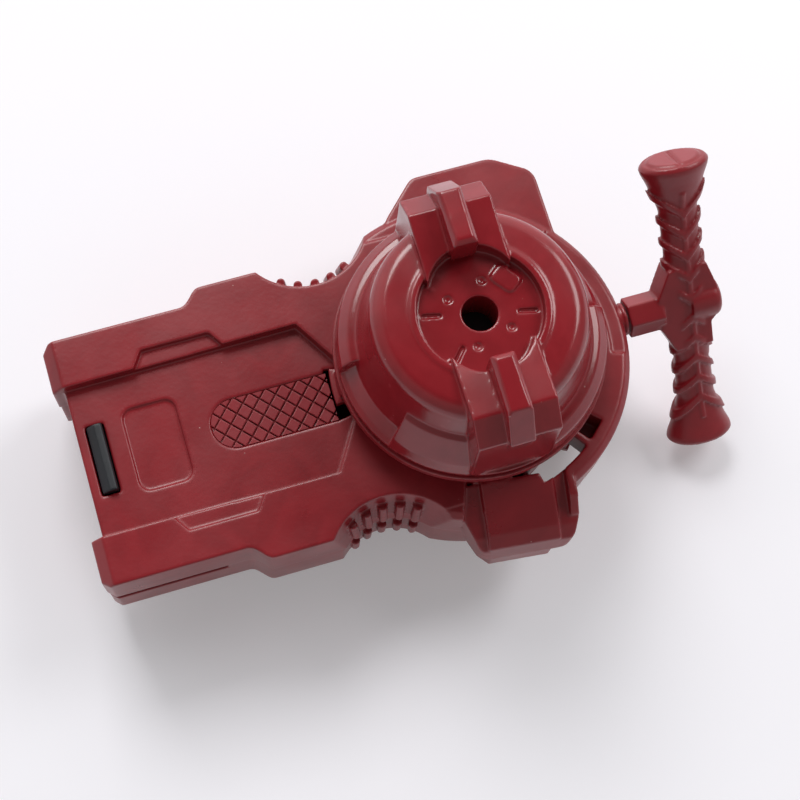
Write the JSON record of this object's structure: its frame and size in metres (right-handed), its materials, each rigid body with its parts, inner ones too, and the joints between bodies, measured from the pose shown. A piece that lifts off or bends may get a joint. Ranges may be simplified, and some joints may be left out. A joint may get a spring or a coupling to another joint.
{
  "type": "spinning top launcher",
  "caption": "Pull-cord launcher with a flat railed body, a domed spinning head that carries prongs, and a ribbed pull handle on a cord wound on a sprung spool.",
  "frame": {"origin": "on the flat back cover, under the axis of the head", "axes": "+Z out of the prong side along the head axis, +X from the tail to the handle"},
  "size_m": [0.139, 0.0823, 0.07],
  "materials": {
    "red_abs": "moulded red ABS with a soft gloss",
    "black_acetal": "moulded blue-black acetal, satin",
    "pale_acetal": "natural acetal, moulded",
    "steel": "zinc-plated steel",
    "brass": "sintered bronze bush",
    "cord": "braided polyester cord"
  },
  "bodies": {
    "casing": {"front_shell": "red_abs", "back_shell": "red_abs", "back_cover": "red_abs", "casing_screws": "steel", "cover_screws": "steel", "spool_axle": "steel", "axle_washer": "steel", "rewind_spring": "steel", "cord_eyelet": "red_abs", "gear_carrier": "pale_acetal", "carrier_screws": "steel", "head_bush": "brass", "latch_spring": "steel"},
    "spool": {"cord_spool": "pale_acetal", "cord_winding": "cord"},
    "idler_a": {"idler_gear_a": "pale_acetal"},
    "idler_b": {"idler_gear_b": "pale_acetal"},
    "head": {"sun_pinion": "black_acetal", "prong_hub": "red_abs", "dome_cap": "red_abs", "dome_screws": "steel"},
    "selector": {"selector_ring": "red_abs"},
    "latch": {"grip_latch": "black_acetal"},
    "cord_end": {"cord_lead": "cord", "cord_stopper": "steel"},
    "handle": {"handle_front": "red_abs", "handle_back": "red_abs", "handle_screws": "steel"}
  },
  "joints": [
    {"name": "handle_pull", "type": "slide", "parent": "casing", "child": "cord_end", "axis": [1, 0, 0], "range_m": [0, 0.45], "stiffness_N_per_m": 6, "springref_m": -0.2, "deforming": ["cord_lead", "rewind_spring"]},
    {"name": "handle_swivel", "type": "hinge", "parent": "cord_end", "child": "handle", "pos_m": [0.0489, 0, 0.0286], "axis": [1, 0, 0], "continuous": true},
    {"name": "spool_turn", "type": "hinge", "parent": "casing", "child": "spool", "pos_m": [0, 0, 0.0286], "axis": [0, 0, 1], "range_deg": [-1465.9, 0]},
    {"name": "idler_a_turn", "type": "hinge", "parent": "casing", "child": "idler_a", "pos_m": [0.0133, 0, 0.035], "axis": [0, 0, 1], "range_deg": [-4395.8, 0]},
    {"name": "idler_b_turn", "type": "hinge", "parent": "casing", "child": "idler_b", "pos_m": [-0.0133, 0, 0.035], "axis": [0, 0, 1], "range_deg": [-4395.8, 0]},
    {"name": "head_spin", "type": "hinge", "parent": "casing", "child": "head", "pos_m": [0, 0, 0.05], "axis": [0, 0, 1], "range_deg": [0, 4395.8]},
    {"name": "selector_turn", "type": "hinge", "parent": "casing", "child": "selector", "pos_m": [0, 0, 0.039], "axis": [0, 0, 1], "range_deg": [0, 5]},
    {"name": "latch_press", "type": "slide", "parent": "casing", "child": "latch", "axis": [0, 0, 1], "range_m": [-0.0015, 0], "stiffness_N_per_m": 800, "springref_m": 0.001, "deforming": ["latch_spring"]}
  ],
  "couplings": [
    {"joint": "spool_turn", "follows": "handle_pull", "rad_per_m": -56.818},
    {"joint": "idler_a_turn", "follows": "handle_pull", "rad_per_m": -170.45},
    {"joint": "idler_b_turn", "follows": "handle_pull", "rad_per_m": -170.45},
    {"joint": "head_spin", "follows": "handle_pull", "rad_per_m": 170.45}
  ]
}
